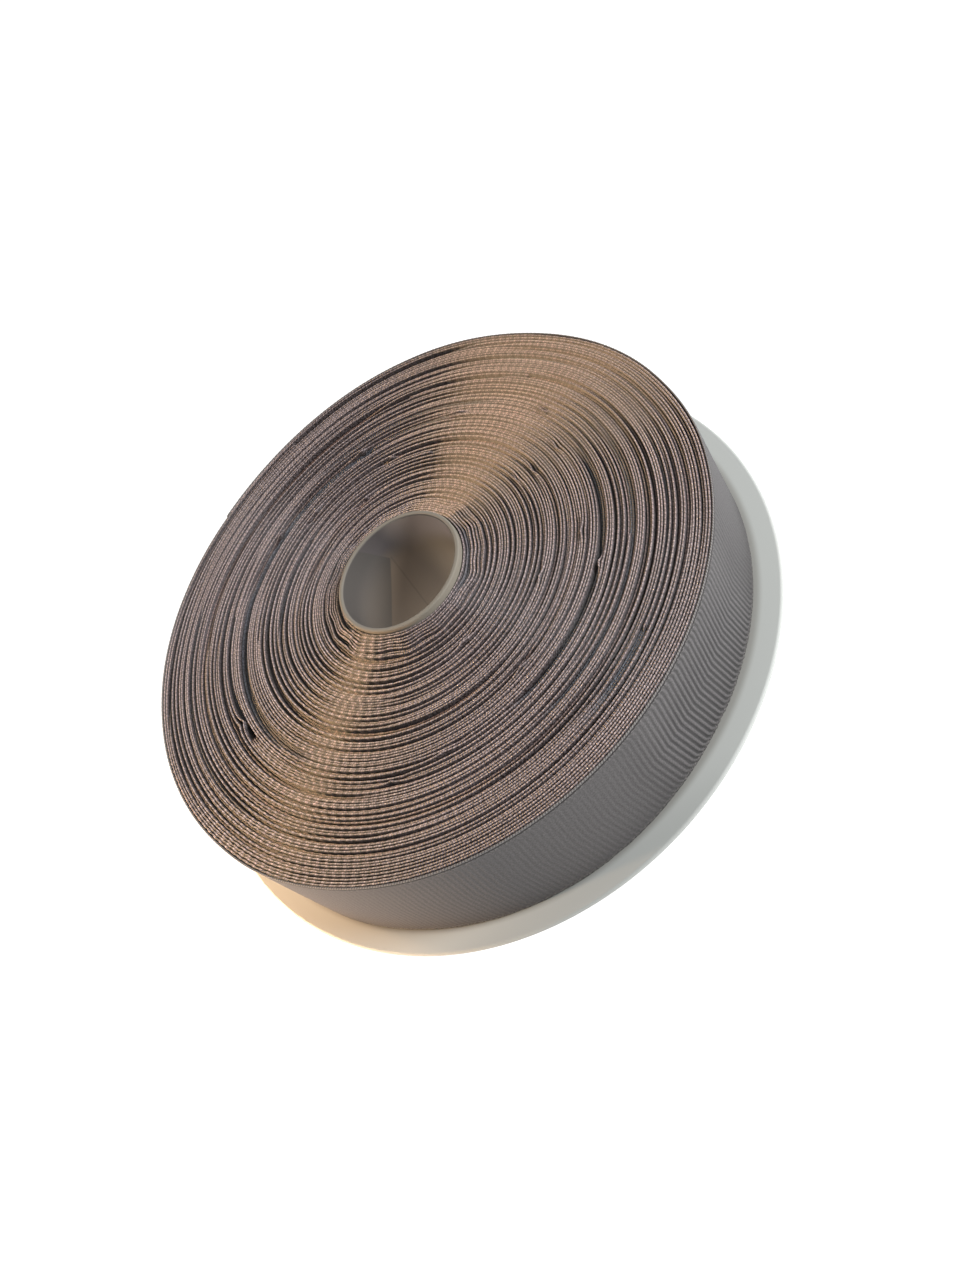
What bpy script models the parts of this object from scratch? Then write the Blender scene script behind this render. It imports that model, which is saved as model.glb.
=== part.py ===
"""Roll of grosgrain ribbon on a spool with one flange, lying flat on that flange.

Metres, +Z up. The origin is on the winding axis, under the middle of the flange.
The front of the roll, the side that is seen first, faces -Y. Angles are in degrees
about +Z, from +X.
"""

import math
from collections import namedtuple

import bmesh
import bpy

MM = 0.001

# The ribbon, which sets the scale of everything else
RIBBON_WIDTH = 25.4 * MM
ROLL_RADIUS = 65.0 * MM
ROLL_EDGE_ROUNDING = 0.25 * MM

# The spool
FLANGE_RADIUS = 70.6 * MM
FLANGE_THICKNESS = 1.2 * MM
CORE_RADIUS = 14.5 * MM
CORE_WALL = 1.05 * MM
CORE_STANDS_PROUD = 2.6 * MM
CORE_LIP_ROUNDING = 0.35 * MM
CORE_ROOT_FILLET = 0.25 * MM
BORE_LEAD_IN = 0.3 * MM

# The ribbon clears the spool by this much, below and round the core
CLEARANCE = 0.3 * MM

# Steps round the axis, and steps in a quarter round
STEPS_ROUND = 80
STEPS_IN_QUARTER = 4
SHARP_EDGE = math.radians(35)

ROLL_BOTTOM = FLANGE_THICKNESS + CLEARANCE
ROLL_TOP = ROLL_BOTTOM + RIBBON_WIDTH
ROLL_BORE_RADIUS = CORE_RADIUS + CLEARANCE
CORE_TOP = ROLL_TOP + CORE_STANDS_PROUD
BORE_RADIUS = CORE_RADIUS - CORE_WALL

# Turns were wound on in groups, which stand a little high or low on the upper face.
# A thin group has slipped down by "slip" between two angles, as a dark ring shows.
Group = namedtuple("Group", "inner_radius stands_up slip slip_from slip_to")
GROUPS = (
    Group(ROLL_BORE_RADIUS, -0.35 * MM, 0.0, 0.0, 0.0),
    Group(17.8 * MM, -0.30 * MM, 1.3 * MM, 15.0, 215.0),
    Group(18.9 * MM, 0.00 * MM, 0.0, 0.0, 0.0),
    Group(24.2 * MM, 0.15 * MM, 0.0, 0.0, 0.0),
    Group(28.4 * MM, -0.10 * MM, 0.0, 0.0, 0.0),
    Group(31.4 * MM, -0.15 * MM, 0.7 * MM, 35.0, 155.0),
    Group(32.4 * MM, 0.10 * MM, 0.0, 0.0, 0.0),
    Group(36.4 * MM, 0.00 * MM, 0.0, 0.0, 0.0),
    Group(40.8 * MM, -0.15 * MM, 0.9 * MM, 35.0, 205.0),
    Group(42.8 * MM, 0.15 * MM, 0.0, 0.0, 0.0),
    Group(45.6 * MM, -0.10 * MM, 0.8 * MM, 120.0, 180.0),
    Group(46.6 * MM, 0.10 * MM, 0.0, 0.0, 0.0),
    Group(51.8 * MM, -0.15 * MM, 0.9 * MM, 35.0, 125.0),
    Group(52.9 * MM, 0.15 * MM, 0.0, 0.0, 0.0),
    Group(58.0 * MM, 0.00 * MM, 0.0, 0.0, 0.0),
    Group(62.1 * MM, -0.15 * MM, 1.0 * MM, 35.0, 155.0),
    Group(63.2 * MM, 0.10 * MM, 0.0, 0.0, 0.0),
)
SEAM_WIDTH = 0.45 * MM
SEAM_DEPTH = 0.6 * MM
SLIP_FADE = 12.0
GROUP_WAVE = 0.08 * MM
GROUP_WAVES_ROUND = 3
GROUP_WAVE_SHIFT = 1.7

# The roll isn't quite round: how far its outside stands out at these angles, and how
# much further its lower edge does
Bulge = namedtuple("Bulge", "angle out foot")
BULGES = (
    Bulge(20.0, -0.95 * MM, 0.0),
    Bulge(50.0, -0.15 * MM, 0.0),
    Bulge(65.0, -0.05 * MM, 0.0),
    Bulge(95.0, -0.50 * MM, 0.0),
    Bulge(125.0, -0.25 * MM, 0.0),
    Bulge(160.0, -0.20 * MM, 0.1 * MM),
    Bulge(190.0, -0.30 * MM, 0.5 * MM),
    Bulge(210.0, 0.10 * MM, 0.8 * MM),
    Bulge(257.0, 0.10 * MM, 0.8 * MM),
    Bulge(290.0, -0.05 * MM, 0.1 * MM),
    Bulge(330.0, 0.05 * MM, 0.1 * MM),
    Bulge(350.0, -0.45 * MM, 0.0),
)


def clear_scene():
    """Remove whatever the file opened with."""
    for thing in list(bpy.data.objects):
        bpy.data.objects.remove(thing, do_unlink=True)


def plastic_material():
    """Milky white moulded plastic, which lets a little light through."""
    material = bpy.data.materials.new("milky_plastic")
    material.use_nodes = True
    shader = material.node_tree.nodes["Principled BSDF"]
    shader.inputs["Base Color"].default_value = (0.66, 0.67, 0.64, 1.0)
    shader.inputs["Roughness"].default_value = 0.38
    shader.inputs["Metallic"].default_value = 0.0
    return material


def ribbon_material():
    """Grey-taupe polyester grosgrain."""
    material = bpy.data.materials.new("grosgrain")
    material.use_nodes = True
    shader = material.node_tree.nodes["Principled BSDF"]
    shader.inputs["Base Color"].default_value = (0.23, 0.20, 0.19, 1.0)
    shader.inputs["Roughness"].default_value = 0.72
    shader.inputs["Metallic"].default_value = 0.0
    return material


def arc(centre_radius, centre_height, radius, start, end):
    """Points of a quarter round in the turning plane, as (radius, height)."""
    points = []
    for step in range(STEPS_IN_QUARTER + 1):
        angle = math.radians(start + (end - start) * step / STEPS_IN_QUARTER)
        points.append((centre_radius + radius * math.cos(angle),
                       centre_height + radius * math.sin(angle)))
    return points


def turn(name, profile, material, reshape=None):
    """Spin a closed profile of (radius, height) points once round the Z axis."""
    shape = bmesh.new()
    corners = [shape.verts.new((radius, 0.0, height)) for radius, height in profile]
    for corner, following in zip(corners, corners[1:] + corners[:1]):
        shape.edges.new((corner, following))
    bmesh.ops.spin(shape, geom=shape.verts[:] + shape.edges[:], cent=(0, 0, 0), axis=(0, 0, 1),
                   angle=math.tau, steps=STEPS_ROUND, use_merge=True)
    bmesh.ops.remove_doubles(shape, verts=shape.verts[:], dist=0.001 * MM)
    if reshape:
        reshape(shape)
    bmesh.ops.recalc_face_normals(shape, faces=shape.faces[:])
    mesh = bpy.data.meshes.new(name)
    shape.to_mesh(mesh)
    shape.free()
    mesh.materials.append(material)
    mesh.shade_smooth()
    mesh.set_sharp_from_angle(angle=SHARP_EDGE)
    made = bpy.data.objects.new(name, mesh)
    bpy.context.collection.objects.link(made)
    return made


def spool_profile():
    """The flange with its full-round rim, and the core tube that stands on it."""
    half = FLANGE_THICKNESS / 2
    lip = CORE_LIP_ROUNDING
    profile = [(BORE_RADIUS, BORE_LEAD_IN), (BORE_RADIUS + BORE_LEAD_IN, 0.0)]
    profile += arc(FLANGE_RADIUS - half, half, half, -90, 0)
    profile += arc(FLANGE_RADIUS - half, half, half, 0, 90)[1:]
    profile += [(CORE_RADIUS + CORE_ROOT_FILLET, FLANGE_THICKNESS),
                (CORE_RADIUS, FLANGE_THICKNESS + CORE_ROOT_FILLET)]
    profile += arc(CORE_RADIUS - lip, CORE_TOP - lip, lip, 0, 90)
    profile += arc(BORE_RADIUS + lip, CORE_TOP - lip, lip, 90, 180)
    return profile


def roll_profile():
    """The winding: a plain ring, with three edges on its upper face for each seam."""
    edge = ROLL_EDGE_ROUNDING
    profile = [(ROLL_BORE_RADIUS, ROLL_BOTTOM), (ROLL_RADIUS - edge, ROLL_BOTTOM),
               (ROLL_RADIUS, ROLL_BOTTOM + edge), (ROLL_RADIUS, ROLL_TOP - edge),
               (ROLL_RADIUS - edge, ROLL_TOP)]
    for group in reversed(GROUPS[1:]):
        for side in (0.5, 0.0, -0.5):
            profile.append((group.inner_radius + side * SEAM_WIDTH, ROLL_TOP))
    profile.append((ROLL_BORE_RADIUS, ROLL_TOP))
    return profile


def slipped(group, angle):
    """How far a group has slipped down at an angle, fading in and out at its ends."""
    into = min(angle - group.slip_from, group.slip_to - angle)
    share = min(max(into / SLIP_FADE, 0.0), 1.0)
    return group.slip * share * share * (3 - 2 * share)


def group_height(number, angle):
    """How far a group of turns stands above the mean of the upper face at an angle."""
    group = GROUPS[number]
    wave = math.sin(math.radians(GROUP_WAVES_ROUND * angle) + GROUP_WAVE_SHIFT * number)
    return group.stands_up + GROUP_WAVE * wave - slipped(group, angle)


def height_on_face(radius, angle):
    """How far the upper face stands above its mean, in the seams and on the groups."""
    beside_seam = SEAM_WIDTH / 4
    number = sum(radius > group.inner_radius - beside_seam for group in GROUPS[1:])
    height = group_height(number, angle)
    if number and radius < GROUPS[number].inner_radius + beside_seam:
        height = min(height, group_height(number - 1, angle)) - SEAM_DEPTH
    return height


def bulge(angle, down):
    """How far the outside stands out at an angle, `down` of the way to its lower edge."""
    for index, here in enumerate(BULGES):
        after = BULGES[(index + 1) % len(BULGES)]
        span = (after.angle - here.angle) % 360.0
        into = (angle - here.angle) % 360.0
        if into <= span:
            share = into / span
            share *= share * (3 - 2 * share)
            start = here.out + here.foot * down
            end = after.out + after.foot * down
            return start + (end - start) * share
    return 0.0


def shape_winding(shape):
    """Raise and lower the groups on the upper face and put the roll out of round."""
    for vert in shape.verts:
        radius = math.hypot(vert.co.x, vert.co.y)
        angle = math.degrees(math.atan2(vert.co.y, vert.co.x)) % 360.0
        down = (ROLL_TOP - vert.co.z) / RIBBON_WIDTH
        if vert.co.z > ROLL_TOP - 0.5 * ROLL_EDGE_ROUNDING:
            vert.co.z += height_on_face(radius, angle)
        share = (radius - ROLL_BORE_RADIUS) / (ROLL_RADIUS - ROLL_BORE_RADIUS)
        grow = 1.0 + share * share * bulge(angle, down) / radius
        vert.co.x *= grow
        vert.co.y *= grow


def make_spool():
    """The moulding that the ribbon is wound on."""
    return turn("spool", spool_profile(), plastic_material())


def make_ribbon_roll():
    """The ribbon as one solid of its wound form."""
    return turn("ribbon_roll", roll_profile(), ribbon_material(), shape_winding)


clear_scene()
make_spool()
make_ribbon_roll()
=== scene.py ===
"""Roll of grosgrain ribbon on a flanged spool: its finished pieces, the light and the camera.

Metres, +Z up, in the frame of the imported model. Angles are in degrees about +Z, from +X.
"""

import math
from collections import namedtuple

import bmesh
import bpy
import numpy as np
from mathutils import Matrix, Vector


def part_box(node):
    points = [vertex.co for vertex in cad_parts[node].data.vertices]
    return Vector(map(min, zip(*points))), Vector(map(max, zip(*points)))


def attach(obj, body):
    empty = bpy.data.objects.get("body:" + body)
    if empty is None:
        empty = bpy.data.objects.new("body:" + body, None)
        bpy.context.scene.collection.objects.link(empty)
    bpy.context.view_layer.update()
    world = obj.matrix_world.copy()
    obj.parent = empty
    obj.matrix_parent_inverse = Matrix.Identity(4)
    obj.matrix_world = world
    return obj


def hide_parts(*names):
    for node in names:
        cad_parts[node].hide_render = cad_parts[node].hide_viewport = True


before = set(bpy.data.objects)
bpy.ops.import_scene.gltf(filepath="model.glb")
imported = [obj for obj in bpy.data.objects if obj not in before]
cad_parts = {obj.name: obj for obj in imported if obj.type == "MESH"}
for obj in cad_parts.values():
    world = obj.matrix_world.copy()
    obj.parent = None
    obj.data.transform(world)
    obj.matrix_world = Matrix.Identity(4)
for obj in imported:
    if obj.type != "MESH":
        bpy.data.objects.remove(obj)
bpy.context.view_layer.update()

MM = 0.001

# Corners of the CAD nodes that the finished pieces fit
ROLL_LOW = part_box("ribbon_roll")[0]
SPOOL_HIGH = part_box("spool")[1]

# The ribbon and how it is wound
RIBBON_WIDTH = 25.4 * MM
RIBBON_THICKNESS = 0.36 * MM
RIB_PITCH = 1.1 * MM
BEAD_PITCH = 2 * RIB_PITCH
ROLL_RADIUS = 65.0 * MM
CORE_RADIUS = 14.5 * MM
TURNS = 91
FLOOR_OF_ROLL = ROLL_LOW.z
FACE = FLOOR_OF_ROLL + RIBBON_WIDTH
FIRST_TURN_RADIUS = CORE_RADIUS + 0.35 * MM
LAST_TURN_RADIUS = ROLL_RADIUS - RIBBON_THICKNESS / 2
TURN_PITCH = (LAST_TURN_RADIUS - FIRST_TURN_RADIUS) / TURNS
OUTER_END_ANGLE = 108.0

# How unevenly the turns are spaced, and how finely their spiral is worked out
PITCH_LEAST = 0.86
PITCH_MOST = 1.14
SAMPLES_A_TURN = 90

# The share of a turn in which the ribbon steps over its own end
STEP_OVER = 0.07

# Steps along the ribbon, and how many pieces the inner turns are cut into
STEP = BEAD_PITCH / 4
LENGTHS = 4

# The spool, in the sizes of its CAD node
FLANGE_RADIUS = SPOOL_HIGH.x
FLANGE_THICKNESS = 1.2 * MM
CORE_TOP = SPOOL_HIGH.z
BORE_RADIUS = 13.45 * MM
SPOOL_STEPS = 240
SHARP_EDGE = math.radians(40)

# Every second or third turn stands low, more on one side of the roll and less on another
TURNS_TO_A_CREST = 2.15
LOW_MEAN = 0.68 * MM
LOW_SPREAD = 0.35 * MM
LOW_LEAST = 0.30 * MM
LOW_MOST = 1.2 * MM
LOW_STARTS = -0.05
LOW_FULL = 0.55
DEEPEST_AT = 150.0
DEEPER_BY = 0.18
SHALLOW_AT = 355.0
SHALLOW_FOR = 28.0
SHALLOWER_BY = 0.32

# The ribs of neighbouring turns nest in each other, within these radii in mm
NESTS = (19.0, 24.2, 28.4, 32.4, 36.4, 40.8, 45.6, 51.8, 58.0, 62.1)

# Turns that have slipped down, as the dark rings of the face show. Sizes in mm
Sunken = namedtuple("Sunken", "inner outer depth start end")
SUNKEN = (
    Sunken(15.3, 15.9, 1.1, 60.0, 188.0),
    Sunken(15.3, 16.4, 0.35, 285.0, 360.0),
    Sunken(17.9, 18.4, 1.1, 50.0, 192.0),
    Sunken(31.4, 32.4, 0.7, 35.0, 155.0),
    Sunken(40.8, 42.6, 0.9, 35.0, 205.0),
    Sunken(43.1, 44.0, 0.7, 262.0, 350.0),
    Sunken(44.9, 45.8, 0.5, 20.0, 90.0),
    Sunken(45.2, 46.0, 0.9, 112.0, 178.0),
    Sunken(49.3, 50.2, 0.6, 265.0, 350.0),
    Sunken(51.6, 52.8, 0.9, 20.0, 150.0),
    Sunken(56.0, 57.0, 0.7, 128.0, 200.0),
    Sunken(56.0, 56.9, 0.5, 270.0, 345.0),
    Sunken(57.7, 58.3, 0.5, 0.0, 90.0),
    Sunken(59.5, 60.3, 0.6, 132.0, 215.0),
    Sunken(62.2, 63.2, 1.0, 35.0, 165.0),
)
SUNKEN_FADE = 12.0

# Turns that stand level with each other, in mm and degrees
Level = namedtuple("Level", "inner outer start end")
LEVEL = (
    Level(28.0, 31.0, 190.0, 235.0),
    Level(37.5, 40.4, 120.0, 200.0),
    Level(42.8, 44.8, 120.0, 205.0),
    Level(44.9, 45.9, 300.0, 350.0),
    Level(47.3, 48.3, 215.0, 290.0),
    Level(53.2, 55.6, 5.0, 70.0),
    Level(54.8, 55.8, 222.0, 285.0),
    Level(59.0, 61.8, 20.0, 130.0),
    Level(61.2, 64.0, 212.0, 300.0),
)
LEVEL_FADE = 15.0

# How far the outside of the roll stands out at these angles, and its lower edge further
Bulge = namedtuple("Bulge", "angle out foot")
BULGES = (
    Bulge(20.0, -0.95, 0.0), Bulge(50.0, -0.15, 0.0), Bulge(65.0, -0.05, 0.0),
    Bulge(95.0, -0.50, 0.0), Bulge(125.0, -0.25, 0.0), Bulge(160.0, -0.20, 0.1),
    Bulge(190.0, -0.30, 0.5), Bulge(210.0, 0.10, 0.8), Bulge(257.0, 0.10, 0.8),
    Bulge(290.0, -0.05, 0.1), Bulge(330.0, 0.05, 0.1), Bulge(350.0, -0.45, 0.0),
)

# Small buckles: the turn outside this radius is folded inwards in a sharp notch, and the
# turns inside it leave a hole this deep just after. In mm
Kink = namedtuple("Kink", "angle radius inwards along hole")
KINKS = (
    Kink(174.5, 46.0, 2.20, 1.8, 3.0),
    Kink(108.0, 42.8, 0.80, 1.6, 0.3),
    Kink(70.5, 42.7, 0.80, 1.8, 0.3),
    Kink(35.0, 42.4, 0.60, 1.8, 0.3),
    Kink(95.0, 36.4, 0.60, 1.4, 0.3),
    Kink(60.0, 34.8, 0.60, 1.2, 0.3),
    Kink(76.0, 28.0, 0.60, 1.4, 0.3),
    Kink(87.0, 18.9, 0.60, 1.6, 0.3),
    Kink(5.0, 46.0, 0.80, 1.4, 0.3),
    Kink(351.0, 41.0, 0.90, 1.8, 0.3),
    Kink(350.0, 34.4, 0.90, 1.4, 0.3),
    Kink(352.0, 30.6, 0.70, 1.2, 0.3),
    Kink(317.5, 39.9, 0.60, 1.8, 0.3),
    Kink(307.0, 44.1, 0.60, 1.8, 0.3),
    Kink(303.0, 32.5, 0.50, 1.2, 0.3),
    Kink(274.0, 39.0, 0.50, 1.4, 0.3),
    Kink(267.0, 24.8, 0.60, 1.2, 0.3),
    Kink(246.0, 43.5, 0.40, 2.4, 0.3),
    Kink(231.5, 45.6, 0.50, 1.4, 0.3),
)
KINK_REACH = 0.8
KINK_HELD_FOR = 0.6
HOLE_WIDTH = 1.3

# The loose turns by the core ripple together, so many times round, and stand up in a hump
RIPPLES = (7, 11, 17)
RIPPLE = 0.16 * MM
LOOSEST_AT = 17.8 * MM
LOOSE_FOR = 1.9 * MM
HUMP = 1.8 * MM
HUMP_AT = 15.0 * MM
HUMP_FOR = 3.0 * MM
HUMP_HIGHEST_AT = 210.0

# Near the core the turns lie closer to level than further out, and in a level band more so
LOW_BY_CORE = 0.2
LOW_FROM = 17.5 * MM
LOW_WITHIN = 3.0 * MM
LEVELLED = 0.85

rng = np.random.default_rng(41)


def smoothstep(share):
    """0 to 1 with level ends."""
    share = np.clip(share, 0.0, 1.0)
    return share * share * (3 - 2 * share)


def uneven(along, spacing):
    """A smooth random run of about unit height, with a new value every `spacing`."""
    count = int(along.max() / spacing) + 3
    values = rng.normal(0.0, 1.0, count)
    place = along / spacing
    start = place.astype(int)
    share = smoothstep(place - start)
    return values[start] * (1 - share) + values[start + 1] * share


def winding():
    """The path of the ribbon's middle, from the core outwards, a step apart."""
    pitches = rng.uniform(PITCH_LEAST, PITCH_MOST, TURNS)
    room = LAST_TURN_RADIUS - FIRST_TURN_RADIUS
    radii = FIRST_TURN_RADIUS + np.concatenate([[0.0], np.cumsum(pitches) / pitches.sum() * room])
    samples = np.linspace(0, TURNS, TURNS * SAMPLES_A_TURN + 1)
    radius = np.interp(samples, np.arange(TURNS + 1), radii)
    middle = (radius[1:] + radius[:-1]) / 2
    along = np.concatenate([[0.0], np.cumsum(middle * np.diff(samples) * math.tau)])
    steps = np.arange(0.0, along[-1], STEP)
    turn = np.interp(steps, along, samples)
    return steps, turn, np.interp(turn, np.arange(TURNS + 1), radii)


def bulge(angle, kind="out"):
    """How far the outside, or the lower edge beyond that, stands out at each angle."""
    out = np.zeros_like(angle)
    for here, after in zip(BULGES, BULGES[1:] + BULGES[:1]):
        span = (after.angle - here.angle) % 360.0
        into = (angle - here.angle) % 360.0
        start, end = getattr(here, kind), getattr(after, kind)
        out = np.where(into <= span, start + (end - start) * smoothstep(into / span), out)
    return out * MM


def aside(angle, middle):
    """Degrees from the nearest turn of `middle`, -180 to 180."""
    return (angle - middle + 180.0) % 360.0 - 180.0


def kinks(radius, angle):
    """How far each step is folded inwards, lowered and held up by the buckles."""
    out = np.zeros_like(radius)
    low = np.zeros_like(radius)
    held = np.zeros_like(radius)
    for kink in KINKS:
        beyond = (radius - kink.radius * MM) / MM
        place = np.radians(aside(angle, kink.angle)) * radius / MM
        fold = np.exp(-np.abs(place) / kink.along)
        out -= np.where(beyond >= 0, np.exp(-beyond / KINK_REACH), 0.0) * kink.inwards * fold
        beside = (beyond >= 0) & (beyond < KINK_HELD_FOR)
        held = np.maximum(held, np.where(beside, fold, 0.0))
        hole = np.exp(-((place - 1.5 * kink.along) / (0.7 * kink.along)) ** 2)
        hole = kink.hole * (hole + np.sqrt(fold))
        low += np.where((beyond < 0) & (beyond > -HOLE_WIDTH), hole, 0.0)
    return out * MM, low * MM, held


def within(band, radius, angle, fade):
    """1 inside a band of turns and between its two angles, fading to 0 at its ends."""
    inside = (radius > band.inner * MM) & (radius < band.outer * MM)
    into = np.minimum(angle - band.start, band.end - angle)
    return np.where(inside, smoothstep(into / fade), 0.0)


def sunk(radius, angle):
    """How far each step of the ribbon has slipped down."""
    return MM * sum(band.depth * within(band, radius, angle, SUNKEN_FADE) for band in SUNKEN)


def lowered(along, turn, angle):
    """How far each step stands below the highest turns."""
    phase = math.tau * turn / TURNS_TO_A_CREST + 1.6 * uneven(along, 500 * MM)
    mood = 0.90 * np.cos(phase) + 0.45 * uneven(along, 140 * MM)
    depth = np.clip(LOW_MEAN + LOW_SPREAD * uneven(along, 200 * MM), LOW_LEAST, LOW_MOST)
    deeper = 1 + DEEPER_BY * np.cos(np.radians(angle - DEEPEST_AT))
    deeper = deeper - SHALLOWER_BY * np.exp(-(aside(angle, SHALLOW_AT) / SHALLOW_FOR) ** 2)
    return depth * deeper * smoothstep((mood - LOW_STARTS) / (LOW_FULL - LOW_STARTS))


def nested_beads(turn, radius):
    """The phase of the beads along the ribbon, the same in all the turns of a nest."""
    nest = np.searchsorted(np.array(NESTS) * MM, radius)
    middles = np.array([np.mean(radius[nest == number]) for number in range(len(NESTS) + 1)])
    per_turn = np.rint(math.tau * middles / BEAD_PITCH)
    return math.tau * per_turn[nest] * turn


def over_its_ends(turn, share):
    """How the outer turns step over the one below, and the inner ones hug the core."""
    of_turn = turn % 1.0
    outer = TURN_PITCH * np.minimum(of_turn / STEP_OVER, (1 - of_turn) / (1 - STEP_OVER))
    inner = TURN_PITCH * np.minimum(of_turn / (1 - STEP_OVER), (1 - of_turn) / STEP_OVER)
    return share ** 2 * outer - (1 - share) ** 12 * inner


def rippled(along, angle, radius):
    """How far the loose turns by the core wave in and out."""
    ripple = sum(np.cos(np.radians(waves * angle) + waves) for waves in RIPPLES)
    loose = np.exp(-((radius - LOOSEST_AT) / LOOSE_FOR) ** 2)
    return loose * (RIPPLE * ripple + 0.06 * MM * uneven(along, 5 * MM))


def slackness(radius, angle, held):
    """How much of its lowering each step keeps: little by the core and where it is held."""
    level = sum(within(band, radius, angle, LEVEL_FADE) for band in LEVEL)
    from_core = smoothstep((radius - LOW_FROM) / LOW_WITHIN)
    kept = LOW_BY_CORE + (1 - LOW_BY_CORE) * from_core
    return (1 - LEVELLED * np.clip(level, 0, 1)) * (1 - held) * kept


def humped(radius, angle):
    """How far the turns by the core stand up, most at two opposite sides."""
    by_core = np.exp(-((radius - HUMP_AT) / HUMP_FOR) ** 2)
    return HUMP * by_core * (0.82 + 0.18 * np.cos(np.radians(2 * (angle - HUMP_HIGHEST_AT))))


def wound_ribbon():
    """Where the ribbon runs: its distance along, angle, radius, top height and beads."""
    along, turn, radius = winding()
    angle = (turn * 360.0 + OUTER_END_ANGLE) % 360.0
    share = (radius - FIRST_TURN_RADIUS) / (LAST_TURN_RADIUS - FIRST_TURN_RADIUS)
    folded, hollow, held = kinks(radius, angle)
    wander = 0.04 * MM * uneven(along, 25 * MM)
    placed = radius + share ** 2 * bulge(angle) + over_its_ends(turn, share)
    placed = placed + folded + wander + rippled(along, angle, radius)
    low = lowered(along, turn, angle) * slackness(radius, angle, held) + hollow
    fine = 0.05 * MM * uneven(along, 18 * MM)
    slipped = sunk(radius, angle)
    crest = (0.15 + 0.4 * held) * MM + fine + humped(radius, angle)
    top = FACE + crest - low - slipped
    marks = {"low": low / MM, "slipped": np.clip(slipped / (0.5 * MM), 0, 1)}
    return along, angle, placed, top, nested_beads(turn, radius), marks


# A section through the ribbon: how far round the rolled upper edge each row lies, in
# degrees, between the two walls
EDGE_ROUND = (-90.0, -45.0, 0.0, 45.0, 90.0)
EDGE_DEPTH = 0.30 * MM
WALL_SHARE = 0.9

# The beads of the edge stand out most where those of all turns line up, and the painted light and
# shade across the beads is strongest there too
BEAD_HEIGHT = 0.07 * MM
BEAD_TWIST = 0.6
LINED_UP_AT = 203.0
LINED_UP_FOR = 24.0
LINED_UP_FAR = 0.35


def section_rows(top, low):
    """Rows of (out, height, round) that go up the inner wall, over the edge and down."""
    half = RIBBON_THICKNESS / 2
    rows = [(-half * WALL_SHARE, low, None)]
    for around in EDGE_ROUND:
        ahead = math.radians(around)
        rows.append((half * math.sin(ahead), top - EDGE_DEPTH * (1 - math.cos(ahead)), ahead))
    rows.append((half * WALL_SHARE, low, None))
    return rows


def in_line(angle):
    """1 where the beads of all turns line up, at the near side of the roll, and less away."""
    near = np.exp(-(aside(angle, LINED_UP_AT) / LINED_UP_FOR) ** 2)
    far = np.exp(-(aside(angle, LINED_UP_AT + 180.0) / LINED_UP_FOR) ** 2)
    return near + LINED_UP_FAR * far


def bead_height(along, angle):
    """How far the beads of the edge stand out: most where they line up."""
    return BEAD_HEIGHT * (0.15 + 0.85 * in_line(angle)) * (1 + 0.3 * uneven(along, 6 * MM))


def closed_band(name, columns, rows, place, spread, marks):
    """A ribbon's mesh: a grid whose last row meets its first, put in place and capped."""
    shape = bmesh.new()
    bmesh.ops.create_grid(shape, x_segments=columns - 1, y_segments=rows, size=0.5)
    mesh = bpy.data.meshes.new(name)
    shape.to_mesh(mesh)
    shape.free()
    flat = np.empty(len(mesh.vertices) * 3, np.float32)
    mesh.vertices.foreach_get("co", flat)
    flat = flat.reshape(-1, 3)
    column = np.rint((flat[:, 0] + 0.5) * (columns - 1)).astype(int)
    row = np.rint((flat[:, 1] + 0.5) * rows).astype(int)
    mesh.vertices.foreach_set("co", place[column, row % rows].astype(np.float32).ravel())
    corner = np.empty(len(mesh.loops), np.int32)
    mesh.loops.foreach_get("vertex_index", corner)
    chart = mesh.uv_layers.new(name="along_and_across")
    chart.data.foreach_set("uv", spread[column[corner], row[corner]].astype(np.float32).ravel())
    for mark, values in marks.items():
        layer = mesh.attributes.new(mark, "FLOAT", "POINT")
        layer.data.foreach_set("value", values[column].astype(np.float32))
    shape = bmesh.new()
    shape.from_mesh(mesh)
    bmesh.ops.remove_doubles(shape, verts=shape.verts[:], dist=1e-7)
    bmesh.ops.holes_fill(shape, edges=[e for e in shape.edges if e.is_boundary], sides=rows + 1)
    bmesh.ops.recalc_face_normals(shape, faces=shape.faces[:])
    shape.to_mesh(mesh)
    shape.free()
    mesh.shade_smooth()
    made = bpy.data.objects.new(name, mesh)
    bpy.context.collection.objects.link(made)
    return made


def stretch(path, start, end):
    """Part of the ribbon's path, between two of its steps."""
    *runs, marks = path
    return *(run[start:end] for run in runs), {key: run[start:end] for key, run in marks.items()}


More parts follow.
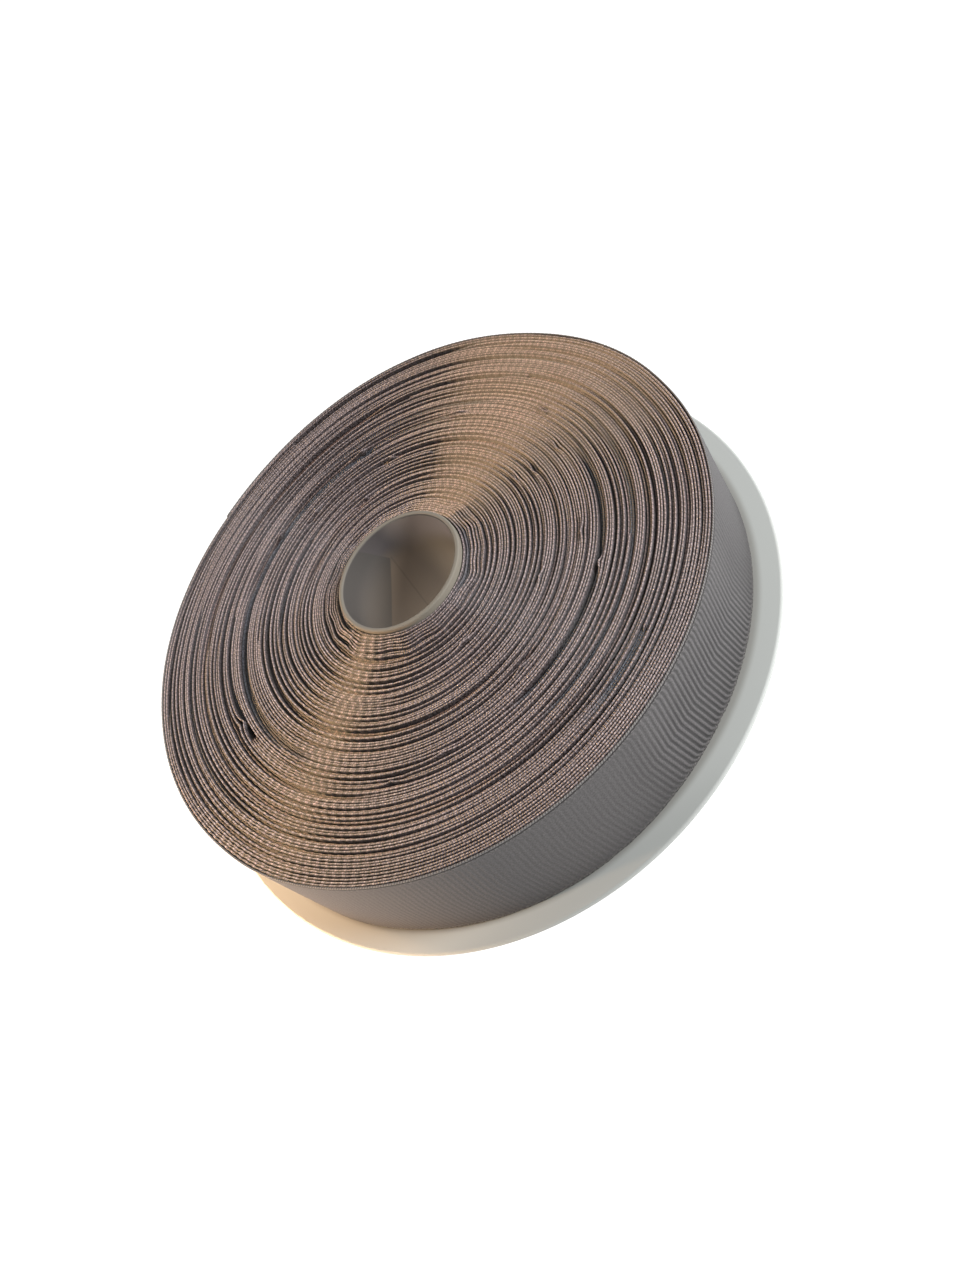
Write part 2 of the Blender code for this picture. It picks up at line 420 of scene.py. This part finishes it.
def turns_of_ribbon(path, finish):
    """All turns but the outermost, as lengths of one strip with a beaded edge."""
    along, angle, radius, top, phase, marks = path
    height_of_bead = bead_height(along, angle)
    count = len(along)
    rows = section_rows(top, FLOOR_OF_ROLL)
    place = np.empty((count, len(rows), 3))
    spread = np.empty((count, len(rows) + 1, 2))
    turned = np.radians(angle)
    for index, (out, height, around) in enumerate(rows):
        height = np.broadcast_to(height, along.shape).copy()
        out = np.full_like(along, out)
        down = top - height
        if around is not None:
            bead = height_of_bead * np.cos(phase - BEAD_TWIST * around)
            out += bead * math.sin(around)
            height += bead * math.cos(around)
        place[:, index, 0] = (radius + out) * np.cos(turned)
        place[:, index, 1] = (radius + out) * np.sin(turned)
        place[:, index, 2] = height
        side = 1 if index > len(rows) // 2 else -1
        spread[:, index, 0] = along / BEAD_PITCH
        spread[:, index, 1] = 0.5 + side * down / (2 * RIBBON_WIDTH)
    spread[:, -1, 0] = along / BEAD_PITCH
    spread[:, -1, 1] = 1.0
    # Painted light and shade across the beads, strongest where they line up
    marks = {**marks, "painted_bead_bars": np.cos(phase) * (0.1 + 0.9 * in_line(angle))}
    cuts = np.linspace(0, count - 1, LENGTHS + 1).astype(int)
    for number, (start, end) in enumerate(zip(cuts, cuts[1:])):
        piece = closed_band(f"ribbon_turns_{number + 1}", end - start + 1, len(rows),
                            place[start:end + 1], spread[start:end + 1],
                            {mark: values[start:end + 1] for mark, values in marks.items()})
        piece.data.materials.append(finish)
        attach(piece, "root")
        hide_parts("ribbon_roll")


# The outermost turn
RIB_STEPS = 5
RIB_HEIGHT = 0.14 * MM
SIDE_ROWS = 26
SELVEDGE = 1.4 * MM
FRAYED_FROM = 0.97

# Its cross ribs bow: they lean along it above and below this share of its width, below
# more between two angles, and hook at the selvedges. In mm
BOW_AT = 0.50
BOW_ABOVE = 1.1
BOW_BELOW = 1.0
BOW_BELOW_MORE = 0.9
BOW_MORE_FROM = 262.0
BOW_MORE_TO = 400.0
HOOK_AT_TOP = 1.0
HOOK_AT_FOOT = 0.9

# They show most between two angles, in relief and in the side's painted shade
RIBS_FAINT = 0.12
RIBS_START = 267.0
RIBS_START_OVER = 20.0
RIBS_END = 326.0
RIBS_END_OVER = 32.0


def bow(angle, down):
    """How far a cross rib of the outermost turn leans along it, `down` of its width."""
    below = max(down - BOW_AT, 0.0) / (1 - BOW_AT)
    above = max(BOW_AT - down, 0.0) / BOW_AT
    more = smoothstep((angle - BOW_MORE_FROM) / 35.0) * smoothstep((BOW_MORE_TO - angle) / 60.0)
    lean = BOW_ABOVE * above ** 1.1 + (BOW_BELOW + BOW_BELOW_MORE * more) * below ** 1.1
    lean = lean + HOOK_AT_FOOT * smoothstep((down - 0.91) / 0.09)
    lean = lean - HOOK_AT_TOP * smoothstep((0.07 - down) / 0.07)
    return lean * MM


def rib_strength(bearing):
    """How strongly the cross ribs show at each angle."""
    ending = smoothstep((RIBS_END - bearing) / RIBS_END_OVER)
    starting = smoothstep((bearing - RIBS_START) / RIBS_START_OVER)
    return RIBS_FAINT + (0.16 + starting) * ending


def side_rows():
    """Rows of (out, down, round) over the upper edge and down the outside."""
    half = RIBBON_THICKNESS / 2
    rows = []
    for around in EDGE_ROUND[:4]:
        ahead = math.radians(around)
        rows.append((half * math.sin(ahead), EDGE_DEPTH * (1 - math.cos(ahead)), ahead))
    for step in range(SIDE_ROWS + 1):
        rows.append((half, EDGE_DEPTH + (RIBBON_WIDTH - 2 * EDGE_DEPTH) * step / SIDE_ROWS, None))
    rows.append((0.0, RIBBON_WIDTH, None))
    rows.append((-half, RIBBON_WIDTH - EDGE_DEPTH, None))
    return rows


def outermost_turn(path, finish):
    """The turn that shows on the side, with its cross ribs and both selvedges."""
    along, angle, radius, top = path[:4]
    fine = np.arange(along[0], along[-1], RIB_PITCH / RIB_STEPS)
    turned = np.interp(fine, along, np.unwrap(np.radians(angle)))
    radius = np.interp(fine, along, radius)
    top = np.interp(fine, along, top)
    bearing = np.degrees(turned) % 360.0
    foot = bulge(bearing, "foot")
    strong = rib_strength(bearing)
    ragged = 0.12 * MM * uneven(fine, 3 * MM)
    rib = np.cos(math.tau * fine / RIB_PITCH)
    rib = np.where(rib > 0, rib ** 2 * 0.3 + 0.7 * np.sqrt(np.abs(rib)), rib)
    rows = side_rows()
    place = np.empty((len(fine), len(rows), 3))
    spread = np.empty((len(fine), len(rows) + 1, 2))
    for index, (out, down, around) in enumerate(rows):
        share = down / RIBBON_WIDTH
        height = top - (top - FLOOR_OF_ROLL) * share
        reach = out + foot * share
        if around is not None:
            lift = 0.35 * BEAD_HEIGHT * np.cos(math.tau * fine / RIB_PITCH - BEAD_TWIST * around)
            reach = reach + lift * math.sin(around)
            height = height + lift * math.cos(around)
        elif out > 0:
            edge = smoothstep(min(down, RIBBON_WIDTH - down) / SELVEDGE)
            reach = reach + (0.35 + 0.65 * edge) * RIB_HEIGHT / 2 * rib * strong
        if share > FRAYED_FROM:
            height = height + np.abs(ragged)
        shift = bow(bearing, share) / radius
        place[:, index, 0] = (radius + reach) * np.cos(turned + shift)
        place[:, index, 1] = (radius + reach) * np.sin(turned + shift)
        place[:, index, 2] = height
        spread[:, index, 0] = fine / BEAD_PITCH
        spread[:, index, 1] = 0.5 + 0.5 * min(share, 1.0) * (1 if out > 0 else -1)
    spread[:, -1] = spread[:, 0]
    marks = {"ribs": strong}
    piece = closed_band("outermost_turn", len(fine), len(rows), place, spread, marks)
    piece.data.materials.append(finish)
    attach(piece, "root")


def arc(centre_radius, centre_height, radius, start, end, steps=6):
    """Points of a round in the turning plane, as (radius, height)."""
    points = []
    for step in range(steps + 1):
        turned = math.radians(start + (end - start) * step / steps)
        points.append((centre_radius + radius * math.cos(turned),
                       centre_height + radius * math.sin(turned)))
    return points


def spool(finish):
    """The single moulding: the flange with a full-round rim, and the core tube."""
    half = FLANGE_THICKNESS / 2
    lip = 0.35 * MM
    fillet = 0.3 * MM
    lead_in = 0.3 * MM
    profile = [(BORE_RADIUS, 2 * lead_in)]
    profile += arc(BORE_RADIUS + lead_in, lead_in, lead_in, 180, 270, 4)
    profile += arc(FLANGE_RADIUS - half, half, half, -90, 90, 10)
    profile += arc(CORE_RADIUS + fillet, FLANGE_THICKNESS + fillet, fillet, 270, 180, 4)
    for step in range(1, 6):
        profile.append((CORE_RADIUS, FLANGE_THICKNESS + (CORE_TOP - FLANGE_THICKNESS) * step / 6))
    profile += arc(CORE_RADIUS - lip, CORE_TOP - lip, lip, 0, 90, 5)
    profile += arc(BORE_RADIUS + lip, CORE_TOP - lip, lip, 90, 180, 5)
    for step in range(1, 9):
        profile.append((BORE_RADIUS, CORE_TOP - (CORE_TOP - 2 * lead_in) * step / 9))
    shape = bmesh.new()
    corners = [shape.verts.new((radius, 0.0, height)) for radius, height in profile]
    for corner, following in zip(corners, corners[1:] + corners[:1]):
        shape.edges.new((corner, following))
    bmesh.ops.spin(shape, geom=shape.verts[:] + shape.edges[:], cent=(0, 0, 0), axis=(0, 0, 1),
                   angle=math.tau, steps=SPOOL_STEPS, use_merge=True)
    bmesh.ops.remove_doubles(shape, verts=shape.verts[:], dist=1e-6)
    bmesh.ops.recalc_face_normals(shape, faces=shape.faces[:])
    mesh = bpy.data.meshes.new("moulded_spool")
    shape.to_mesh(mesh)
    shape.free()
    mesh.shade_smooth()
    mesh.set_sharp_from_angle(angle=SHARP_EDGE)
    piece = bpy.data.objects.new("moulded_spool", mesh)
    bpy.context.collection.objects.link(piece)
    mesh.materials.append(finish)
    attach(piece, "root")
    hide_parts("spool")


class Finish:
    """A material that is built by adding and joining nodes."""

    def __init__(self, name):
        self.material = bpy.data.materials.new(name)
        self.material.use_nodes = True
        self.nodes = self.material.node_tree.nodes
        self.shader = self.nodes["Principled BSDF"]

    def add(self, kind, **settings):
        """A new node, with its settings."""
        node = self.nodes.new(kind)
        for setting, value in settings.items():
            setattr(node, setting, value)
        return node

    def join(self, output, socket):
        """A link from an output to a socket."""
        self.material.node_tree.links.new(output, socket)

    def mark(self, name):
        """A value that the mesh keeps at each of its points."""
        return self.add("ShaderNodeAttribute", attribute_name=name).outputs["Fac"]

    def finished(self, colour, **constants):
        """The material, with its colour and with constants on the shader's sockets."""
        self.join(colour, self.shader.inputs["Base Color"])
        for socket, value in constants.items():
            self.shader.inputs[socket.replace("_", " ")].default_value = value
        return self.material

    def math(self, operation, first, second=0.0, third=0.0):
        """The result of a sum on outputs or numbers."""
        node = self.add("ShaderNodeMath", operation=operation)
        for socket, value in zip(node.inputs, (first, second, third)):
            if isinstance(value, (int, float)):
                socket.default_value = value
            else:
                self.join(value, socket)
        return node.outputs[0]

    def ramp(self, value, low, high, to_low=0.0, to_high=1.0):
        """A smooth step from one value to another, between low and high."""
        node = self.add("ShaderNodeMapRange", interpolation_type="SMOOTHSTEP")
        self.join(value, node.inputs["Value"])
        for socket, number in zip(node.inputs[1:5], (low, high, to_low, to_high)):
            socket.default_value = number
        return node.outputs["Result"]

    def blend(self, share, first, second):
        """The first colour where share is 0 and the second where it is 1."""
        node = self.add("ShaderNodeMix", data_type="RGBA")
        self.join(share, node.inputs["Factor"])
        for socket, colour in zip((node.inputs[6], node.inputs[7]), (first, second)):
            if isinstance(colour, tuple):
                socket.default_value = (*colour, 1.0)
            else:
                self.join(colour, socket)
        return node.outputs[2]

    def bump(self, height, strength, distance):
        """A fine relief, drawn by the light only."""
        node = self.add("ShaderNodeBump")
        node.inputs["Strength"].default_value = strength
        node.inputs["Distance"].default_value = distance
        self.join(height, node.inputs["Height"])
        self.join(node.outputs[0], self.shader.inputs["Normal"])


# Threads across the edge, in mm from one to the next, and how far they lean
THREAD_PITCH = 0.55
THREAD_LEAN = 9.0
STRAND_PITCH = 1.02
STRAND_LEAN = 4.0
WARP_PITCH = 0.28

# Colours of the ribbon: its edge, its walls, the slipped rings and the outermost side
# The edge's colours are partly painted light: the lit top of each turn
EDGE_LIGHT = (0.520, 0.408, 0.388)
EDGE_MIDDLE = (0.292, 0.221, 0.211)
WALL_LIGHT = (0.150, 0.125, 0.128)
WALL_DARK = (0.035, 0.023, 0.021)
# Painted shade for turns that stand low between their neighbours
GAP_SHADE_TINT = (0.58, 0.42, 0.33)
# The slipped rings are painted shade, a dark bluish grey
SHADED_RING_LIGHT = (0.135, 0.137, 0.155)
SHADED_RING_DARK = (0.030, 0.032, 0.040)
SIDE_LIGHT = (0.104, 0.097, 0.096)
# SIDE_DARK also serves as painted shade in the grooves between the ribs
SIDE_DARK = (0.040, 0.037, 0.037)
SIDE_KNOTS = (0.21, 0.195, 0.185)
# A row of dark dots along the foot of the side, one at each rib
SIDE_FOOT_DOTS = (0.025, 0.023, 0.022)
# Painted shade: a dark line just below the outermost turn's top edge
SIDE_SHADE_LINE = (0.018, 0.015, 0.015)
# SIDE_CREST is partly painted light on the top edge
SIDE_CREST = (0.26, 0.24, 0.225)


def charted(finish):
    """Along the ribbon in beads, across it in mm from the edge, and how far down."""
    chart = finish.add("ShaderNodeUVMap", uv_map="along_and_across")
    split = finish.add("ShaderNodeSeparateXYZ")
    finish.join(chart.outputs["UV"], split.inputs[0])
    along, across = split.outputs[0], split.outputs[1]
    signed = finish.math("MULTIPLY", finish.math("SUBTRACT", across, 0.5), 2 * RIBBON_WIDTH / MM)
    return along, signed, finish.math("ABSOLUTE", signed)


def wave(finish, along, signed, pitch, slant):
    """A cosine along the ribbon, `pitch` mm long, that leans as it goes across."""
    turns = finish.math("MULTIPLY", along, math.tau * BEAD_PITCH / MM / pitch)
    return finish.math("COSINE", finish.math("ADD", turns, finish.math("MULTIPLY", signed, slant)))


def speckle(finish, along, signed, size, stretch=1.0):
    """Random light and dark specks, `size` mm across."""
    vector = finish.add("ShaderNodeCombineXYZ")
    finish.join(finish.math("MULTIPLY", along, BEAD_PITCH / MM / size / stretch), vector.inputs[0])
    finish.join(finish.math("MULTIPLY", signed, 1 / size), vector.inputs[1])
    noise = finish.add("ShaderNodeTexNoise", noise_dimensions="2D")
    noise.inputs["Scale"].default_value = 1.0
    noise.inputs["Detail"].default_value = 1.0
    finish.join(vector.outputs[0], noise.inputs["Vector"])
    return noise.outputs[0]


def shaded(finish, colour, value):
    """A colour with its brightness multiplied."""
    shade = finish.add("ShaderNodeHueSaturation")
    finish.join(value, shade.inputs["Value"])
    finish.join(colour, shade.inputs["Color"])
    return shade.outputs[0]


def grosgrain_edge():
    """Ribbon seen on its selvedge: a pale edge of slanted threads over darker walls, the edge's
    paleness partly painted light.
    """
    finish = Finish("grosgrain_edge")
    along, signed, down = charted(finish)
    low = finish.mark("low")
    painted_bead_bars = finish.mark("painted_bead_bars")
    thread = wave(finish, along, signed, THREAD_PITCH, THREAD_LEAN)
    strand = wave(finish, along, signed, STRAND_PITCH, STRAND_LEAN)
    crest = finish.blend(finish.ramp(thread, -0.9, 0.9), EDGE_MIDDLE, EDGE_LIGHT)
    crest = shaded(finish, crest, finish.ramp(strand, -0.9, 0.6, 0.55, 1.14))
    # Painted light and shade of the beads, on the edge and more on the walls
    crest = shaded(finish, crest, finish.ramp(painted_bead_bars, -0.8, 0.8, 0.62, 1.30))
    mottle = speckle(finish, along, signed, 0.45)
    wall = finish.blend(finish.ramp(mottle, 0.38, 0.62), WALL_DARK, WALL_LIGHT)
    wall = shaded(finish, wall, finish.ramp(painted_bead_bars, -0.8, 0.8, 0.4, 1.6))
    # Painted shade: the walls darken deeper down between the turns
    wall = shaded(finish, wall, finish.ramp(down, 0.5, 1.6, 1.0, 0.45))
    # Pale edge over darker walls, the edge's paleness partly painted light
    colour = finish.blend(finish.ramp(down, 0.05, 0.24), crest, wall)
    # Painted shade: lowered turns are darkened towards a warm brown
    gap_shaded = finish.add("ShaderNodeMix", data_type="RGBA", blend_type="MULTIPLY")
    finish.join(finish.ramp(low, 0.15, 1.1), gap_shaded.inputs["Factor"])
    finish.join(colour, gap_shaded.inputs[6])
    gap_shaded.inputs[7].default_value = (*GAP_SHADE_TINT, 1.0)
    # Painted shade on the slipped rings
    shaded_ring = finish.blend(finish.ramp(mottle, 0.35, 0.65), SHADED_RING_DARK, SHADED_RING_LIGHT)
    colour = finish.blend(finish.mark("slipped"), gap_shaded.outputs[2], shaded_ring)
    # Painted shade, darker still where the turns stand lowest
    colour = shaded(finish, colour, finish.ramp(low, 1.6, 2.8, 1.0, 0.2))
    slow = speckle(finish, along, signed, 50.0)
    colour = shaded(finish, colour, finish.ramp(slow, 0.3, 0.7, 0.76, 1.18))
    finish.bump(thread, 0.5, 0.05 * MM)
    threads = finish.add("ShaderNodeTangent", direction_type="UV_MAP", uv_map="along_and_across")
    finish.join(threads.outputs[0], finish.shader.inputs["Tangent"])
    return finish.finished(colour, Roughness=0.58, Specular_IOR_Level=1.0, IOR=1.7,
                           Anisotropic=1.0, Anisotropic_Rotation=0.25)


def grosgrain_side():
    """Ribbon seen flat on: cross ribs covered by fine warp threads, with painted shade between the
    ribs.
    """
    finish = Finish("grosgrain_side")
    along, signed, down = charted(finish)
    rib = wave(finish, along, signed, RIB_PITCH / MM, 0.0)
    ribs = finish.mark("ribs")
    # Painted shade in the grooves between the cross ribs, strongest where the ribs show and
    # fainter near the top
    shade = finish.math("MULTIPLY", finish.ramp(rib, -0.8, 0.9, 1.0, 0.0), ribs)
    shade = finish.math("MULTIPLY", shade, finish.ramp(down, 2.0, 14.0, 0.6, 1.0))
    colour = finish.blend(shade, SIDE_LIGHT, SIDE_DARK)
    fine = speckle(finish, along, signed, 0.35)
    colour = shaded(finish, colour, finish.ramp(fine, 0.3, 0.7, 0.82, 1.18))
    # Painted light and shade: the side lighter where the ribs show strongly, darker where they
    # fade
    colour = shaded(finish, colour, finish.ramp(ribs, 0.5, 1.0, 0.88, 1.12))
    from_foot = finish.math("SUBTRACT", RIBBON_WIDTH / MM, down)
    edge = finish.ramp(finish.math("MINIMUM", down, from_foot), 0.5, 1.6, 1.0, 0.0)
    specks = speckle(finish, along, signed, 0.30)
    knots = finish.blend(finish.ramp(specks, 0.42, 0.62), SIDE_DARK, SIDE_KNOTS)
    colour = finish.blend(edge, colour, knots)
    # A row of dark dots along the foot, one at each rib
    at_foot = finish.ramp(from_foot, 0.3, 0.7, 1.0, 0.0)
    foot_dots = finish.math("MULTIPLY", at_foot, finish.ramp(rib, 0.0, 0.5))
    colour = finish.blend(foot_dots, colour, SIDE_FOOT_DOTS)
    # Painted shade: a dark line just below the top edge
    below_crest = finish.ramp(down, 0.30, 0.45)
    line = finish.math("MULTIPLY", below_crest, finish.ramp(down, 0.7, 0.9, 1.0, 0.0))
    colour = finish.blend(line, colour, SIDE_SHADE_LINE)
    thread = wave(finish, along, signed, THREAD_PITCH, THREAD_LEAN)
    threads = finish.blend(finish.ramp(thread, -0.9, 0.9), SIDE_LIGHT, SIDE_CREST)
    # The top edge's pale threads are partly painted light
    colour = finish.blend(finish.ramp(down, 0.15, 0.40, 1.0, 0.0), colour, threads)
    warp = finish.math("SINE", finish.math("MULTIPLY", signed, math.tau / WARP_PITCH))
    finish.bump(warp, 0.35, 0.03 * MM)
    return finish.finished(colour, Roughness=0.6, Specular_IOR_Level=0.4)


# Colours of the plastic, darker where the ribbon backs its thin walls, with painted shade on the
# flange and painted light and shade in the bore
FLANGE_PLASTIC = (0.527, 0.533, 0.501)
FLANGE_FOOT_SHADE = (0.35, 0.34, 0.31)
TUBE_PLASTIC = (0.27, 0.24, 0.195)
BORE_LIP = (0.22, 0.195, 0.165)
# Painted light and shade in the bore: much lighter towards +X near the top, and changing with
# depth; the ribbon behind the wall gives the rest
BORE_HIGH_LEFT = (0.105, 0.092, 0.090)
BORE_HIGH_RIGHT = (0.90, 0.73, 0.62)
BORE_DEEP_LEFT = (0.27, 0.21, 0.155)
BORE_DEEP_RIGHT = (0.62, 0.48, 0.33)
BORE_OVER_END_HIGH = (0.094, 0.085, 0.078)
BORE_OVER_END_DEEP = (0.162, 0.137, 0.113)
# Painted shade on the flange is darkest at this angle, at the front
FLANGE_SHADE_AT = 255.0

# The ribbon's inner end shows through the wall of the bore: where its upper edge, corner and
# lower edge lie, and the crease that slants down from the corner. Degrees, and mm of depth
END_TOP_ANGLE = 97.4
END_TOP_FALL = 2.0
END_CORNER_ANGLE = 85.3
END_CORNER_DEPTH = 5.67
END_FOOT_FALL = 0.37
END_FOOT_CURVE = 0.0030
CREASE_ANGLE = 82.55
CREASE_LEAN = 0.475


def over_inner_end(finish, angle, depth):
    """1 on the bore's wall where the ribbon's inner end lies behind it."""
    edge = finish.math("MULTIPLY_ADD", depth, END_TOP_FALL, angle)
    past_top = finish.ramp(edge, END_TOP_ANGLE, END_TOP_ANGLE + 1.2)
    past = finish.math("SUBTRACT", angle, END_CORNER_ANGLE)
    fall = finish.math("MULTIPLY_ADD", past, -END_FOOT_CURVE, END_FOOT_FALL)
    foot = finish.math("MULTIPLY_ADD", past, fall, END_CORNER_DEPTH)
    above_foot = finish.ramp(finish.math("SUBTRACT", foot, depth), 0.0, 0.8)
    return finish.math("MULTIPLY", past_top, above_foot)


def crease(finish, angle, depth):
    """How light the bore's wall is: darker on the thin crease beside the ribbon's end."""
    past = finish.math("SUBTRACT", angle, CREASE_ANGLE)
    across = finish.math("ABSOLUTE", finish.math("MULTIPLY_ADD", depth, -CREASE_LEAN, past))
    line = finish.ramp(across, 0.2, 1.3, 0.84, 1.0)
    return finish.math("MAXIMUM", line, finish.ramp(depth, 5.4, 6.4, 1.0, 0.0))


def bore_colour(finish, x, y, angle, depth):
    """The inner wall of the tube, coloured by the ribbon behind it and by painted light and shade
    across and down the bore, and its lip.
    """
    sideways = finish.math("DIVIDE", x, BORE_RADIUS)
    # Painted light and shade: lighter towards +X, and changing with depth
    high = finish.blend(finish.ramp(sideways, 0.15, 1.05), BORE_HIGH_LEFT, BORE_HIGH_RIGHT)
    deep = finish.blend(finish.ramp(sideways, 0.35, 0.9), BORE_DEEP_LEFT, BORE_DEEP_RIGHT)
    bore = finish.blend(finish.ramp(depth, 2.0, 9.0), high, deep)
    bore = shaded(finish, bore, crease(finish, angle, depth))
    near = finish.ramp(finish.math("DIVIDE", y, BORE_RADIUS), -0.2, 0.3, 1.0, 0.0)
    near = finish.math("MULTIPLY", near, finish.ramp(sideways, -0.35, 0.0, 1.0, 0.0))
    over_end = finish.math("MAXIMUM", over_inner_end(finish, angle, depth), near)
    end = finish.blend(finish.ramp(depth, 1.0, 12.0), BORE_OVER_END_HIGH, BORE_OVER_END_DEEP)
    bore = finish.blend(over_end, bore, end)
    return finish.blend(finish.ramp(depth, -2.5, -2.1, 1.0, 0.0), bore, BORE_LIP)


def flange_colour(finish, x, y, radius):
    """The flange, with painted shade at the foot of the ribbon and a little painted shade at the
    front.
    """
    # Painted shade at the ribbon's foot
    foot = finish.ramp(radius, 65.4 * MM, 67.0 * MM)
    flange = finish.blend(foot, FLANGE_FOOT_SHADE, FLANGE_PLASTIC)
    # Painted shade, a little darker at the front
    turned = math.radians(FLANGE_SHADE_AT)
    towards = finish.math("MULTIPLY_ADD", x, math.cos(turned),
                          finish.math("MULTIPLY", y, math.sin(turned)))
    return shaded(finish, flange, finish.ramp(towards, 58.0 * MM, 68.5 * MM, 1.0, 0.84))


def milky_plastic():
    """Milky moulding, with the tube's inside, its outside and the flange told apart."""
    finish = Finish("milky_plastic")
    place = finish.add("ShaderNodeTexCoord")
    split = finish.add("ShaderNodeSeparateXYZ")
    finish.join(place.outputs["Object"], split.inputs[0])
    x, y, z = split.outputs
    radius = finish.math("SQRT", finish.math("ADD", finish.math("MULTIPLY", x, x),
                                             finish.math("MULTIPLY", y, y)))
    angle = finish.math("MULTIPLY", finish.math("ARCTAN2", y, x), math.degrees(1.0))
    depth = finish.math("DIVIDE", finish.math("SUBTRACT", FACE, z), MM)
    inside = finish.ramp(radius, BORE_RADIUS + 0.05 * MM, BORE_RADIUS + 0.3 * MM, 1.0, 0.0)
    past_tube = finish.ramp(radius, 15.5 * MM, 20.0 * MM)
    colour = finish.blend(past_tube, TUBE_PLASTIC, flange_colour(finish, x, y, radius))
    colour = finish.blend(inside, colour, bore_colour(finish, x, y, angle, depth))
    return finish.finished(colour, Roughness=0.5, Specular_IOR_Level=0.2)


def floor():
    """A plain pale floor, lit from within so that it shows white."""
    shape = bmesh.new()
    bmesh.ops.create_grid(shape, x_segments=1, y_segments=1, size=3.0)
    mesh = bpy.data.meshes.new("floor")
    shape.to_mesh(mesh)
    shape.free()
    made = bpy.data.objects.new("floor", mesh)
    bpy.context.collection.objects.link(made)
    finish = Finish("pale_floor")
    finish.shader.inputs["Base Color"].default_value = (0.30, 0.30, 0.30, 1.0)
    finish.shader.inputs["Roughness"].default_value = 0.9
    finish.shader.inputs["Emission Color"].default_value = (1.0, 1.0, 1.0, 1.0)
    finish.shader.inputs["Emission Strength"].default_value = 0.92
    mesh.materials.append(finish.material)


# Lamps, in degrees and metres from the middle of the face. Each lights either what is diffuse
# or what shines
Lamp = namedtuple("Lamp", "name azimuth elevation distance size watts colour lights")
LAMPS = (
    Lamp("warm_low_lamp", 174.5, -1.6, 0.22, 0.016, 1.22, (1.0, 0.68, 0.42), "diffuse"),
    Lamp("warm_highlight", 120.0, 40.4, 1.5, 0.15, 36.0, (1.0, 0.61, 0.31), "glossy"),
    Lamp("cool_side_lamp", 320.0, 27.0, 1.1, 0.50, 16.5, (0.94, 0.97, 1.0), "diffuse"),
    Lamp("cool_highlight", 325.0, 40.0, 1.5, 0.30, 6.0, (0.94, 0.97, 1.0), "glossy"),
)

# The sky, and how bright it is in the direction in which it is darkest
SKY = 0.47
SKY_IN_FRONT = 0.06
DARKEST_SKY = (-0.08, -0.82, 0.565)


def sky():
    """A pale sky that is dimmer in front of the roll."""
    world = bpy.data.worlds.new("studio")
    bpy.context.scene.world = world
    world.use_nodes = True
    back = world.node_tree.nodes["Background"]
    back.inputs["Color"].default_value = (0.98, 0.98, 1.0, 1.0)
    looking = world.node_tree.nodes.new("ShaderNodeTexCoord")
    front = world.node_tree.nodes.new("ShaderNodeVectorMath")
    front.operation = "DOT_PRODUCT"
    front.inputs[1].default_value = DARKEST_SKY
    dim = world.node_tree.nodes.new("ShaderNodeMapRange")
    for socket, number in zip(dim.inputs[1:5], (0.1, 0.8, SKY, SKY_IN_FRONT)):
        socket.default_value = number
    world.node_tree.links.new(looking.outputs["Generated"], front.inputs[0])
    world.node_tree.links.new(front.outputs["Value"], dim.inputs["Value"])
    world.node_tree.links.new(dim.outputs["Result"], back.inputs["Strength"])


def lamps():
    """Warm lamps on the left and cool ones on the right, which the camera doesn't see."""
    for lamp in LAMPS:
        data = bpy.data.lights.new(lamp.name, "AREA")
        data.shape = "DISK"
        data.size = lamp.size
        data.energy = lamp.watts
        data.color = lamp.colour
        made = bpy.data.objects.new(lamp.name, data)
        made.visible_diffuse = lamp.lights == "diffuse"
        made.visible_glossy = lamp.lights == "glossy"
        made.visible_camera = False
        bpy.context.collection.objects.link(made)
        turned, raised = math.radians(lamp.azimuth), math.radians(lamp.elevation)
        direction = Vector((math.cos(turned) * math.cos(raised),
                            math.sin(turned) * math.cos(raised), math.sin(raised)))
        made.location = direction * lamp.distance + Vector((0, 0, FACE))
        made.rotation_mode = "QUATERNION"
        made.rotation_quaternion = direction.to_track_quat("Z", "Y")


# The camera, close above the front of the roll and tipped on its side as the picture is
CAMERA_FRONT = 151.8 * MM
CAMERA_ABOVE_FACE = 139.05 * MM
CAMERA_LENS = 27.97
CAMERA_SENSOR = 36.0
CAMERA_RIGHT = Vector((0.69260, -0.54085, -0.47728))
CAMERA_AHEAD = Vector((0.00688, 0.66659, -0.74539))


def camera():
    """The camera at the photograph's angle."""
    data = bpy.data.cameras.new("camera")
    data.lens = CAMERA_LENS
    data.sensor_width = CAMERA_SENSOR
    data.clip_start = 0.01
    made = bpy.data.objects.new("camera", data)
    bpy.context.collection.objects.link(made)
    right = CAMERA_RIGHT.normalized()
    ahead = CAMERA_AHEAD.normalized()
    up = right.cross(ahead)
    turned = Matrix((right, up, -ahead)).transposed()
    made.location = (0.0, -CAMERA_FRONT, FACE + CAMERA_ABOVE_FACE)
    made.rotation_mode = "QUATERNION"
    made.rotation_quaternion = turned.to_quaternion()
    bpy.context.scene.camera = made


camera()
path = wound_ribbon()
outer_start = np.searchsorted(path[0], path[0][-1] - math.tau * LAST_TURN_RADIUS)
turns_of_ribbon(stretch(path, 0, outer_start + 1), grosgrain_edge())
outermost_turn(stretch(path, outer_start, len(path[0])), grosgrain_side())
spool(milky_plastic())
floor()
sky()
lamps()
bpy.context.scene.view_settings.view_transform = "Standard"
